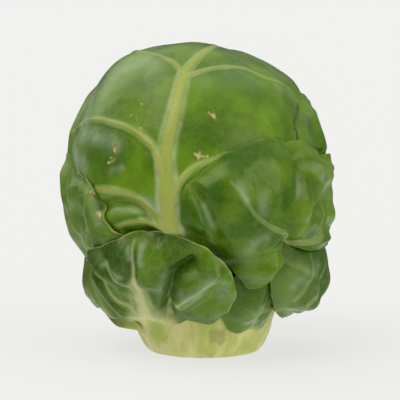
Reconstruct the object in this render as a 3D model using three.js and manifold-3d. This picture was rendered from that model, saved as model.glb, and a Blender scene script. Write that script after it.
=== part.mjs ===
// One trimmed brussels sprout on its cut stem: a stem stub, a heart of inner leaves and the wrapper leaves.
// Millimetres, +Z up. The origin is the centre of the cut face, and the front of the sprout faces -Y.
import * as THREE from 'three';
import { mergeVertices } from 'three/addons/utils/BufferGeometryUtils.js';
import Module from 'manifold-3d';

const wasm = await Module();
wasm.setup();

// Driving dimensions
const HEAD_CENTRE = 20.5;
const BLADE = 0.8;
const GAP = 0.3;
const MOUNT_RADIUS = 6.6;
const STEM_TOP = 6.0;
const HEART_FLOOR = STEM_TOP + GAP;

// Radius of the bare bulb, seen from the head's centre, at each latitude in degrees
const BULB = [
  [-90, 20.5], [-71, 21.6], [-68, 21.0], [-65, 20.0], [-61, 18.5], [-57, 17.3], [-46, 15.6], [-30, 14.5],
  [-10, 14.1], [10, 14.3], [25, 14.8], [40, 15.6], [60, 16.7], [90, 17.2],
];
// Sideways lean of the head at each height
const LEAN = [[0, 0], [6, -0.15], [14, -0.95], [28, -1.15], [40, -1.75]];

// How far a lower leaf holds up the leaves above it past its own margin, in degrees about the head's centre
const SHOULDER = 3;
const FALL = 8;

// Mesh steps of the blades, ribs, heart and stem
const BLADE_STEP = 2.7;
const BACK_BLADE_STEP = 3.3;
const RIB_STEP = 2.4;
const RIB_SINK = 0.4;
const HEART_TURNS = 36;
const HEART_RINGS = 16;
const STEM_TURNS = 48;

const DEGREE = Math.PI / 180;

// Small helpers
const clamp = (x, low, high) => Math.min(high, Math.max(low, x));

function smoothstep(from, to, x) {
  const t = clamp((x - from) / (to - from), 0, 1);
  return t * t * (3 - 2 * t);
}

// A curve through stations [x, y] that never overshoots them
function through(stations, x) {
  const last = stations.length - 1;
  let i = 0;
  while (i < last - 1 && x >= stations[i + 1][0]) i += 1;
  const secant = (k) => (stations[k + 1][1] - stations[k][1]) / (stations[k + 1][0] - stations[k][0]);
  const slope = (k) => {
    if (k === 0) return secant(0);
    if (k === last) return secant(last - 1);
    const before = secant(k - 1);
    const after = secant(k);
    return before * after > 0 ? (2 * before * after) / (before + after) : 0;
  };
  const [x0, y0] = stations[i];
  const [x1, y1] = stations[i + 1];
  const span = x1 - x0;
  const t = clamp((x - x0) / span, 0, 1);
  const ends = (1 + 2 * t) * (1 - t) ** 2 * y0 + t * t * (3 - 2 * t) * y1;
  return ends + span * t * (1 - t) * ((1 - t) * slope(i) - t * slope(i + 1));
}

// Unit vector at an azimuth (0 at the front, 90 at the right) and a latitude, in degrees
function direction(azimuth, latitude) {
  const ring = Math.cos(latitude * DEGREE);
  const x = ring * Math.sin(azimuth * DEGREE);
  const y = -ring * Math.cos(azimuth * DEGREE);
  return new THREE.Vector3(x, y, Math.sin(latitude * DEGREE));
}

// The point that stands so high over the bare bulb in a direction
function onBulb(d, height) {
  const latitude = Math.asin(clamp(d.z, -1, 1)) / DEGREE;
  const p = d.clone().multiplyScalar(through(BULB, latitude) + height);
  p.z += HEAD_CENTRE;
  p.x += through(LEAN, p.z);
  return p;
}

// Leaves, innermost first. Points are [azimuth, latitude]; an outline point may add its margin's stand-off.
// Ribs are [half width at the root, half width at the tip, path]. Folds are [height, half width, path].
const LEAVES = [
  {
    name: 'back_right_leaf', colour: 0x5f7c44, centre: [140, 5], lift: 0.2,
    outline: [
      [140, 60], [170, 48], [188, 18, 0.3], [190, -15], [175, -46, 0.3], [150, -64],
      [128, -62], [116, -44], [98, -14], [92, 18], [108, 46],
    ],
    ribs: [
      [1.0, 0.3, [[136, -8], [139, 8], [143, 24], [145, 36]]],
      [0.5, 0.25, [[137, 0], [152, 14], [166, 22]]],
      [0.5, 0.25, [[143, 20], [154, 30], [164, 36]]],
    ],
  },
  {
    name: 'back_left_leaf', colour: 0x5c7a40, centre: [-142, 5], lift: 0.2,
    outline: [
      [-142, 58], [-120, 44], [-102, 20], [-94, -12], [-100, -45], [-122, -63],
      [-150, -64], [-172, -46, 0.3], [-188, -12], [-192, 22, 0.4], [-176, 50],
    ],
    ribs: [
      [1.1, 0.3, [[-150, 0], [-150, 16], [-150, 28], [-149, 39]]],
      [0.5, 0.25, [[-150, 6], [-166, 18], [-178, 24]]],
      [0.5, 0.25, [[-150, 18], [-162, 30], [-172, 36]]],
      [0.5, 0.25, [[-150, 12], [-140, 22], [-130, 28]]],
    ],
  },
  {
    name: 'crown_leaf', colour: 0x5b7a36, centre: [-14, 45], lift: 0.3,
    outline: [
      [-12, -28], [-36, -26], [-58, -20], [-80, -4], [-102, 20], [-126, 40, 0.3], [-160, 48], [165, 48, 0.3],
      [138, 40], [116, 28], [92, 16], [66, 2], [40, -10], [14, -22],
    ],
    ribs: [
      [1.5, 0.35, [[-12, -5], [-16, 12], [-17, 21], [-13, 38], [-9, 50], [-6, 60], [8, 71], [60, 81]]],
      [0.7, 0.3, [[-17, -6], [-21, -3], [-28, 3], [-38, 5]]],
      [0.7, 0.3, [[-17, 19], [-25, 29], [-36, 34], [-50, 35], [-69, 35], [-84, 31]]],
      [0.5, 0.25, [[-8, 60], [-21, 68], [-40, 71], [-72, 71], [-112, 63]]],
      [0.5, 0.25, [[-14, 4], [-11, 10], [-8, 14], [-4, 18]]],
      [0.6, 0.3, [[-7, 56], [7, 61], [31, 63], [50, 61], [64, 55]]],
    ],
    folds: [
      [0.4, 7.0, [[-40, 80], [60, 84]]],
      [0.6, 4.0, [[86, 48], [108, 44]]],
      [0.7, 4.5, [[-105, 62], [-90, 58]]],
      [0.4, 6.0, [[-98, 36], [-94, 22]]],
      [0.5, 4.0, [[-98, 24], [-90, 15]]],
    ],
  },
  {
    name: 'top_right_leaf', colour: 0x5a7644, centre: [98, 26], lift: 0,
    outline: [
      [98, 41], [80, 39], [67, 34], [61, 28], [58, 22], [74, 15], [100, 13], [126, 14],
      [143, 26, 0.3], [138, 36, 0.2], [120, 42, 0.2],
    ],
    ribs: [
      [0.8, 0.3, [[112, 17], [113, 25], [112, 36]]],
      [0.45, 0.25, [[113, 20], [122, 27], [130, 31]]],
    ],
  },
  {
    name: 'left_leaf', colour: 0x566e3e, centre: [-86, -14], lift: 0.1,
    outline: [
      [-98, 15], [-82, 14], [-72, 11], [-61, 8.5], [-54.5, 5], [-50, -1], [-48, -7, 0.2], [-42, -13, 0.3],
      [-36, -16], [-42, -28], [-60, -46], [-84, -62], [-106, -58], [-122, -36], [-128, -8, 0.4], [-116, 10],
    ],
    folds: [[0.7, 2.6, [[-94, -14], [-88, -18]]]],
    ribs: [
      [0.9, 0.3, [[-80, -26], [-82, -12], [-86, 8]]],
      [0.5, 0.25, [[-72, -24], [-63, -14], [-60, -4]]],
      [0.5, 0.25, [[-82, -20], [-98, -8], [-108, 4]]],
    ],
  },
  {
    name: 'back_low_left_leaf', colour: 0x6c8648, centre: [-165, -36], lift: 0.6,
    outline: [
      [-165, -2, 0.4], [-138, -10, 0.2], [-122, -34, 0.5], [-134, -56], [-160, -66], [-186, -62],
      [-206, -40, 0.4], [-195, -12],
    ],
    ribs: [
      [1.2, 0.3, [[-160, -60], [-162, -44], [-165, -26], [-165, -10]]],
      [0.5, 0.25, [[-161, -46], [-148, -32], [-138, -24]]],
      [0.5, 0.25, [[-162, -46], [-178, -32], [-190, -26]]],
    ],
  },
  {
    name: 'back_low_right_leaf', colour: 0x688245, centre: [132, -38], lift: 0.6,
    outline: [
      [130, -2, 0.5], [150, -12], [164, -38, 0.4], [152, -56], [132, -61], [117, -54],
      [107, -36], [110, -12, 0.3],
    ],
    ribs: [
      [1.2, 0.3, [[132, -57], [131, -44], [130, -26], [130, -10]]],
      [0.5, 0.25, [[131, -46], [143, -32], [152, -26]]],
    ],
  },
  {
    name: 'small_low_leaf', colour: 0x61803b, centre: [42, -50], lift: 0.6,
    outline: [
      [18, -57], [20, -52], [32.5, -44], [42, -40], [49, -36.5], [58, -33], [60, -40], [60, -50],
      [56, -56], [38, -58],
    ],
    ribs: [],
  },
  {
    name: 'right_low_leaf', colour: 0x6a8054, centre: [78, -38], lift: 4.3,
    outline: [
      [58, -54, 0.4], [49, -48, 0.3], [44, -40], [44, -28], [54, -19], [74, -14],
      [92, -16], [104, -26, 0.8], [108, -40, 2.0], [102, -50, 2.0], [91, -55, 1.6], [76, -55.5, 1.2],
    ],
    ribs: [
      [0.7, 0.3, [[60, -50], [72, -44], [84, -39], [97, -35]]],
    ],
  },
  {
    name: 'right_leaf', colour: 0x4d6a1a, centre: [40, -5], lift: 0.3,
    outline: [
      [-7, -6, 0.2], [-6.5, 2], [-4, 9, 0.1], [2, 15], [9.5, 21], [17, 24.5, 0.2], [26, 28], [36, 29, 0.2],
      [49, 27], [74, 19, 0.2], [90, 11, 0.3], [101, 1, 0.2], [104, -9, 0.4], [96, -16, 0.8], [84, -20, 0.5],
      [73, -21.5, 0.2], [62, -22], [51, -22.5], [47, -29], [40, -35.5, 0.1], [32, -40.5, 0.1],
      [27, -39.5, 0.1], [23.5, -36.5], [17.5, -30], [11, -21], [6, -16], [0, -12],
    ],
    ribs: [
      [0.7, 0.3, [[49, -17], [42, -13], [34, -10], [23, -2], [19, 9]]],
      [0.6, 0.3, [[50, -15], [44, -2], [39, 10], [37, 20]]],
      [0.6, 0.3, [[51, -16], [66, -16], [78, -12], [82, -4]]],
    ],
    folds: [
      [0.7, 2.6, [[31, -27], [25, -14], [21, -2], [19, 8]]],
      [0.5, 1.8, [[40, -25], [37, -15]]],
      [0.9, 3.0, [[90, 4], [91, -11]]],
      [-0.7, 1.2, [[51, -21], [48.5, -12], [49, -2], [52, 8]]],
    ],
  },
  {
    name: 'left_low_leaf', colour: 0x748a42, centre: [-88, -46], lift: 1.6,
    outline: [
      [-66, -32], [-84, -33], [-105, -32, 0.2], [-122, -36, 0.6], [-124, -46, 0.8], [-110, -51, 0.6],
      [-94, -53, 0.3], [-82, -55, 0.1], [-70, -59], [-60, -64], [-52, -65.5], [-54, -55], [-58, -42],
    ],
    ribs: [
      [1.0, 0.3, [[-74, -54], [-83, -48], [-92, -43], [-100, -38]]],
    ],
  },
  {
    name: 'front_low_leaf', colour: 0x4a6a22, centre: [-24, -38], lift: 1.8,
    outline: [
      [-62, -28, 0.3], [-58, -23, 0.5], [-54, -20, 0.4], [-47, -19], [-35, -14, 0.2], [-25, -12], [-14, -12],
      [-3.5, -14], [5, -17.5], [13, -24.5], [17.5, -32], [18.5, -39, 0.2], [17, -46, 0.3], [11, -53, 0.3],
      [0, -57.5, 0.2], [-14, -58], [-26, -60], [-34, -64], [-43, -65.5], [-53, -65], [-56, -58, 0.1],
      [-60, -48, 0.3], [-64, -36, 0.4],
    ],
    ribs: [
      [1.6, 0.4, [[-42, -62], [-38, -53], [-36.5, -44], [-31, -33]]],
      [0.6, 0.3, [[-37, -46], [-37, -39], [-43, -25]]],
      [0.5, 0.3, [[-30, -31], [-28.5, -24], [-29, -17]]],
    ],
    folds: [
      [-1.9, 0.8, [[-25, -55], [-20, -46], [-13.5, -34.5], [-8.5, -27], [-2.5, -24]]],
      [1.5, 2.2, [[-10, -41], [0, -36.5], [9, -32]]],
      [0.6, 1.3, [[-25, -32], [-24, -22], [-23, -15]]],
      [0.6, 1.2, [[-34, -30], [-34, -22], [-35, -17]]],
    ],
  },
];

// A rib's height, how much of it is left at the tip, and the width of its flat top as a share of its foot
const RIB_HEIGHT = 0.45;
const RIB_TIP = 0.6;
const RIB_TOP = 0.5;

// Millimetres on a leaf's flat map for each degree from its centre
const ARC_LENGTH = 17.5 * DEGREE;

// Leaf maps: a direction is an angle from the leaf's centre and a bearing about it, clockwise from north
function addMap(leaf) {
  const [azimuth, latitude] = leaf.centre;
  leaf.axis = direction(azimuth, latitude);
  leaf.north = direction(azimuth, latitude + 90);
  leaf.east = direction(azimuth + 90, 0);
  leaf.margin = leaf.outline.map(([az, lat, lift = 0]) => ({ ...polar(leaf, direction(az, lat)), lift }));
  leaf.margin.sort((a, b) => a.bearing - b.bearing);
  const turns = [-360, 0, 360];
  const repeated = (value) => turns.flatMap((turn) => leaf.margin.map((m) => [m.bearing + turn, m[value]]));
  leaf.reachStations = repeated('angle');
  leaf.liftStations = repeated('lift');
  leaf.creases = (leaf.folds ?? []).map(([height, halfWidth, path]) => ({
    height,
    halfWidth,
    points: path.map(([az, lat]) => flatten(leaf, direction(az, lat))),
  }));
}

function polar(leaf, d) {
  const angle = Math.acos(clamp(d.dot(leaf.axis), -1, 1)) / DEGREE;
  const bearing = Math.atan2(d.dot(leaf.east), d.dot(leaf.north)) / DEGREE;
  return { angle, bearing };
}

function fromPolar(leaf, angle, bearing) {
  const side = leaf.north.clone().multiplyScalar(Math.cos(bearing * DEGREE));
  side.addScaledVector(leaf.east, Math.sin(bearing * DEGREE));
  const d = leaf.axis.clone().multiplyScalar(Math.cos(angle * DEGREE));
  return d.addScaledVector(side, Math.sin(angle * DEGREE));
}

// Place on the leaf's flat map, in millimetres
function flatten(leaf, d) {
  const { angle, bearing } = polar(leaf, d);
  const distance = angle * ARC_LENGTH;
  return new THREE.Vector2(distance * Math.sin(bearing * DEGREE), distance * Math.cos(bearing * DEGREE));
}

function distanceToPath(p, path) {
  let nearest = Infinity;
  for (let i = 0; i + 1 < path.length; i += 1) {
    const along = path[i + 1].clone().sub(path[i]);
    const t = clamp(p.clone().sub(path[i]).dot(along) / along.lengthSq(), 0, 1);
    nearest = Math.min(nearest, p.distanceTo(path[i].clone().addScaledVector(along, t)));
  }
  return nearest;
}

// How far the leaf stands off what lies under it: a cupped middle, a lifted margin and its folds
function standOff(leaf, d) {
  const { angle, bearing } = polar(leaf, d);
  const share = Math.min(1, angle / through(leaf.reachStations, bearing));
  let height = leaf.lift * (1 - share ** 2) + through(leaf.liftStations, bearing) * share ** 3;
  const p = flatten(leaf, d);
  for (const crease of leaf.creases) {
    height += crease.height * Math.exp(-((distanceToPath(p, crease.points) / crease.halfWidth) ** 2));
  }
  return Math.max(0, height);
}

// Height over the bare bulb of the leaves that lie under the leaf of this index
function stackUnder(index, d) {
  let height = 0;
  for (const leaf of LEAVES.slice(0, index)) {
    const { angle, bearing } = polar(leaf, d);
    const past = angle - through(leaf.reachStations, bearing);
    height += (1 - smoothstep(SHOULDER, SHOULDER + FALL, past)) * (GAP + standOff(leaf, d) + BLADE);
  }
  return height;
}

const innerHeight = (index, d) => stackUnder(index, d) + GAP + standOff(LEAVES[index], d);

// Closed mesh from rows of points, each row a closed ring, with a fan to a middle point at both ends
function closedRings(rings, firstMiddle, lastMiddle) {
  const points = [firstMiddle, ...rings.flat(), lastMiddle];
  const count = rings[0].length;
  const at = (ring, step) => 1 + ring * count + (step % count);
  const triangles = [];
  for (let step = 0; step < count; step += 1) {
    triangles.push(0, at(0, step + 1), at(0, step));
    for (let ring = 0; ring + 1 < rings.length; ring += 1) {
      triangles.push(at(ring, step), at(ring, step + 1), at(ring + 1, step));
      triangles.push(at(ring, step + 1), at(ring + 1, step + 1), at(ring + 1, step));
    }
    const end = rings.length - 1;
    triangles.push(points.length - 1, at(end, step), at(end, step + 1));
  }
  const geometry = new THREE.BufferGeometry();
  const positions = points.flatMap((p) => p.toArray());
  geometry.setAttribute('position', new THREE.Float32BufferAttribute(positions, 3));
  geometry.setIndex(triangles);
  return geometry;
}

function toManifold(geometry) {
  const mesh = new wasm.Mesh({
    numProp: 3,
    vertProperties: new Float32Array(geometry.attributes.position.array),
    triVerts: new Uint32Array(geometry.index.array),
  });
  return new wasm.Manifold(mesh);
}

function toGeometry(solid) {
  const mesh = solid.getMesh();
  const geometry = new THREE.BufferGeometry();
  geometry.setAttribute('position', new THREE.Float32BufferAttribute(mesh.vertProperties, 3));
  geometry.setIndex([...mesh.triVerts]);
  return geometry;
}

// A blade of even thickness over its part of the head, with both faces in the same triangles
function blade(index) {
  const leaf = LEAVES[index];
  const reach = Math.max(...leaf.margin.map((m) => m.angle)) * ARC_LENGTH;
  const step = leaf.name.startsWith('back') ? BACK_BLADE_STEP : BLADE_STEP;
  const ringCount = Math.ceil(reach / step);
  const sectorCount = Math.ceil((2 * Math.PI * reach) / step);
  const ring = (share, thickness) => {
    const points = [];
    for (let sector = 0; sector < sectorCount; sector += 1) {
      const bearing = (sector / sectorCount) * 360 - 180;
      const d = fromPolar(leaf, share * through(leaf.reachStations, bearing), bearing);
      points.push(onBulb(d, innerHeight(index, d) + thickness));
    }
    return points;
  };
  const shares = Array.from({ length: ringCount }, (_, i) => (i + 1) / ringCount);
  const outside = shares.map((share) => ring(share, BLADE));
  const inside = shares.toReversed().map((share) => ring(share, 0));
  const middle = innerHeight(index, leaf.axis);
  return closedRings([...outside, ...inside], onBulb(leaf.axis, middle + BLADE), onBulb(leaf.axis, middle));
}

// A tapered rib with a flat-topped section, sunk into the blade along its path
function rib(index, [rootHalf, tipHalf, path]) {
  const curve = new THREE.CatmullRomCurve3(path.map(([az, lat]) => direction(az, lat)));
  const steps = Math.max(3, Math.round((curve.getLength() * HEAD_CENTRE) / RIB_STEP));
  const rings = [];
  const middles = [];
  for (let step = 0; step <= steps; step += 1) {
    const t = step / steps;
    const d = curve.getPoint(t).normalize();
    const ahead = curve.getTangent(t);
    const side = new THREE.Vector3().crossVectors(ahead, d).normalize();
    const half = THREE.MathUtils.lerp(rootHalf, tipHalf, t);
    const top = RIB_HEIGHT * THREE.MathUtils.lerp(1, RIB_TIP, t);
    const base = onBulb(d, innerHeight(index, d) + BLADE);
    const corner = (across, up) => base.clone().addScaledVector(side, across * half).addScaledVector(d, up);
    rings.push([corner(-1, -RIB_SINK), corner(-RIB_TOP, top), corner(RIB_TOP, top), corner(1, -RIB_SINK)]);
    middles.push(base);
  }
  return closedRings(rings, middles[0], middles[steps]);
}

function leafGeometry(index) {
  const solids = [blade(index), ...LEAVES[index].ribs.map((line) => rib(index, line))].map(toManifold);
  return toGeometry(solids.reduce((whole, piece) => whole.add(piece)));
}

// Heart: the tight inner leaves, raised in overlapping steps from the ball that they make
const HEART_LEAVES = 5;
const HEART_TURN = 144;
const HEART_STEP = 0.35;
const HEART_SPREAD = 58;
const HEART_EDGE = 3;
const HEART_FIRST = { azimuth: 20, latitude: 38 };
const HEART_DROP = 6;
const HEART_TOP = 86;
const HEART_LOWEST = -58;
const HEART_INSET = HEART_LEAVES * HEART_STEP;

function heartHeight(d) {
  let height = -HEART_INSET;
  for (let i = 0; i < HEART_LEAVES; i += 1) {
    const middle = direction(HEART_FIRST.azimuth + i * HEART_TURN, HEART_FIRST.latitude - i * HEART_DROP);
    const angle = Math.acos(clamp(d.dot(middle), -1, 1)) / DEGREE;
    height += HEART_STEP * (1 - smoothstep(HEART_SPREAD - HEART_EDGE, HEART_SPREAD + HEART_EDGE, angle));
  }
  return height;
}

function heartGeometry() {
  const rings = [];
  for (let row = 0; row < HEART_RINGS; row += 1) {
    const latitude = THREE.MathUtils.lerp(HEART_TOP, HEART_LOWEST, row / (HEART_RINGS - 1));
    const ring = [];
    for (let step = 0; step < HEART_TURNS; step += 1) {
      const d = direction((-step / HEART_TURNS) * 360, latitude);
      const p = onBulb(d, heartHeight(d));
      p.z = Math.max(p.z, HEART_FLOOR);
      ring.push(p);
    }
    rings.push(ring);
  }
  const pole = direction(0, 90);
  const floor = new THREE.Vector3(through(LEAN, HEART_FLOOR), 0, HEART_FLOOR);
  return closedRings(rings, onBulb(pole, heartHeight(pole)), floor);
}

// Stem: a flared stub with a flat cut face and a rounded foot. The wall's stations are [radius, height].
const STEM_WALL = [[7.2, 0.4], [7.8, 1.1], [8.4, 2.4], [8.8, 3.8], [9.2, 5.2], [9.3, STEM_TOP]];

function stemGeometry() {
  const profile = [
    new THREE.Vector2(0, 0),
    new THREE.Vector2(MOUNT_RADIUS, 0),
    ...STEM_WALL.map(([radius, height]) => new THREE.Vector2(radius, height)),
    new THREE.Vector2(0, STEM_TOP),
  ];
  const geometry = new THREE.LatheGeometry(profile, STEM_TURNS);
  geometry.rotateX(Math.PI / 2);
  const position = geometry.attributes.position;
  for (let i = 0; i < position.count; i += 1) {
    position.setX(i, position.getX(i) + through(LEAN, position.getZ(i)));
  }
  geometry.deleteAttribute('normal');
  geometry.deleteAttribute('uv');
  return mergeVertices(geometry);
}

// The sprout
const sprout = new THREE.Group();

function add(name, geometry, color) {
  const material = new THREE.MeshStandardMaterial({ color, roughness: 0.45, metalness: 0 });
  const mesh = new THREE.Mesh(geometry, material);
  mesh.name = name;
  sprout.add(mesh);
}

LEAVES.forEach(addMap);
add('stem', stemGeometry(), 0xbebc8e);
add('heart', heartGeometry(), 0x9fb45c);
LEAVES.forEach((leaf, index) => add(leaf.name, leafGeometry(index), leaf.colour));

export default sprout;
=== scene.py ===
"""Dresses one trimmed brussels sprout: stem stub, heart and wrapper leaves, on a pale studio floor."""

import bpy
import numpy as np
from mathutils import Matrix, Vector


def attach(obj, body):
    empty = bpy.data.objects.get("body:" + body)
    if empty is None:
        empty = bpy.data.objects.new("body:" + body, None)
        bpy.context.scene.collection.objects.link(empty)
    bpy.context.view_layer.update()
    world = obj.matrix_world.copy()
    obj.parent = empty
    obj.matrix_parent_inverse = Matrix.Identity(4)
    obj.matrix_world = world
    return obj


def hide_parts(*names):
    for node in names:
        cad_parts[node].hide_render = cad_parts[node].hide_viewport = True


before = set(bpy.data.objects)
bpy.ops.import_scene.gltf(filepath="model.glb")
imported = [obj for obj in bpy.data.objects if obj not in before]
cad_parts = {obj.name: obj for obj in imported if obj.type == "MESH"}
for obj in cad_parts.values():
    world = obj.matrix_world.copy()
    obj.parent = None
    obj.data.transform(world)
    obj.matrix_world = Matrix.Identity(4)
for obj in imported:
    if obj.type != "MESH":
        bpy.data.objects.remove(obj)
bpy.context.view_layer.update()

bl_info = {
    "name": "Brussels Sprout",
    "version": (1, 0, 0),
    "blender": (4, 5, 0),
    "location": "3D View > Sidebar > Sprout",
    "description": "Models a brussels sprout leaf by leaf around its packed frame",
    "category": "Object",
}

MM = 0.001

# The form, in millimetres and degrees, as in the solid model
HEAD_CENTRE = 20.5
BLADE = 0.8
GAP = 0.3
BULB = (
    (-90, 20.5), (-71, 21.6), (-68, 21.0), (-65, 20.0), (-61, 18.5), (-57, 17.3), (-46, 15.6), (-30, 14.5),
    (-10, 14.1), (10, 14.3), (25, 14.8), (40, 15.6), (60, 16.7), (90, 17.2),
)
LEAN = ((0, 0), (6, -0.15), (14, -0.95), (28, -1.15), (40, -1.75))
SHOULDER = 3.0
FALL = 8.0

# Millimetres to a degree on a leaf's flat map
ARC = np.radians(17.5)

# How a blade thins and presses down towards its margin, and how far the rounded rim stands past it
MARGIN_BLADE = 0.24
BODY_BLADE = 0.7
MARGIN_PRESS = 0.62
PRESS_WIDTH = 3.2
RIM_BULGE = 0.16

# Waves of a margin: count around the leaf, size, and how far each next leaf's waves are shifted
MARGIN_WAVES = ((11, 0.006, 1), (23, 0.005, 2))

# Share of the way from a leaf's centre at which the pale line of its margin starts
EDGE_START = 0.982

# Lowest that folds take a leaf against what lies under it, and the lowest that a leaf hangs over the floor
DEEPEST_DIP = -0.7
FLOOR_CLEARANCE = 0.05

# Lengths of large and small puckers, and the small ones' share
LARGE_PUCKER = 5.0
SMALL_PUCKER = 1.8
SMALL_SHARE = 0.3

# Foot of a leaf on the stem: its height, how deep its margin sinks in, and the share of relief left
FOOT_RISE = 0.12
FOOT_SINK = 0.2
FOOT_RELIEF = 0.4

# Pale flank of a vein: its place and width as shares of the vein's half width, and its least width
FLANK_PLACE = 0.74
FLANK_WIDTH = 0.26
FLANK_LEAST = 0.07

# Veins of a plain leaf and fine veins of every leaf: half width at the root, at the tip, height and paleness
PLAIN_MIDRIB = (1.1, 0.3, 0.4, 0.9)
PLAIN_RIB = (0.55, 0.22, 0.28, 0.6)
FINE_VEIN = (0.22, 0.1, 0.03, 0.14)
FINE_SPACING = 2.6
FINE_ANGLE = 52

# Length of a fine vein: a share of the vein that it leaves, and a fixed part
FINE_SHARE = 0.18
FINE_LENGTH = 1.6

# Ribs of a plain leaf as shares of the midrib: the first one's place, the part that they leave from, the
# stagger of a pair, and the longest rib, with the loss of length towards the tip
RIB_START = 0.18
RIB_SPAN = 0.62
RIB_STAGGER = 0.3
RIB_LENGTH = 0.42
RIB_LOSS = 0.6

# How strongly a branch bends back along its vein, and how much it then slows outwards
BRANCH_BEND = 0.35
BRANCH_SLOWING = 0.4

# Loss of a vein's height, paleness and halo from root to tip, where its tip starts to fade, and the share of
# its half width that is pale
HEIGHT_LOSS = 0.5
PALE_LOSS = 0.35
HALO_LOSS = 0.5
TIP_FADE = 0.9
PALE_WIDTH = 0.6

# Share of a foot's reach that is fully pale
FOOT_CORE = 0.25

# Bounds on a leaf's map between which its green goes from dark to light, a painted sheen on one side; these
# wide ones keep a leaf's tone even
NO_SIDE_SHEEN = (-1000, 1000)

# Stem wall as (radius, height) from the cut up, its top, and the radii at which flutes and scar are laid out
STEM_PROFILE = (
    (6.4, 0.0), (7.0, 0.12), (7.4, 0.5), (7.8, 1.1), (8.4, 2.4), (8.8, 3.8), (9.2, 5.2), (9.3, 5.9),
    (9.0, 6.0),
)
STEM_TOP = 6.0
FLUTE_RADIUS = 6.5
SCAR_RADIUS = 7.5

# Height and length of the stem's broad and fine flutes
BROAD_FLUTES = (0.12, 3.2)
FINE_FLUTES = (0.05, 1.4)

# Scar of a trimmed leaf on the stem: azimuth, height, half width and half height
STEM_SCAR = (12, 3.1, 1.1, 1.0)

# Lowest point of the heart, and the rows of latitude that it is drawn with
HEART_FLOOR = 6.3
HEART_ROWS = (88, -57)

# Point that the camera looks at: aside of the axis, and up across the view
LOOK_ASIDE = -0.51
LOOK_RISE = 19.07

# Warm soft lamps: where the light comes from and how broad it is, in degrees
SUN_COLOUR = (1.0, 0.985, 0.88)
LAMPS = {
    "key": ((-0.45, -0.40, 0.80), 40),
    "fill": ((0.80, -0.52, 0.30), 45),
    "gloss": ((-0.58, 0.54, 0.61), 54),
}

# Tones of the studio from the nadir to the zenith: bright table, dark room, bright ceiling
DOME_TONES = ((0.0, 1.0), (0.28, 0.9), (0.40, 0.12), (0.60, 0.20), (0.88, 0.80))


def shade(red, green, blue):
    """Linear colour of a display colour given from 0 to 255."""
    values = np.array((red, green, blue)) / 255
    linear = np.where(values <= 0.04045, values / 12.92, ((values + 0.055) / 1.055) ** 2.4)
    return tuple(float(v) for v in linear)
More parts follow.
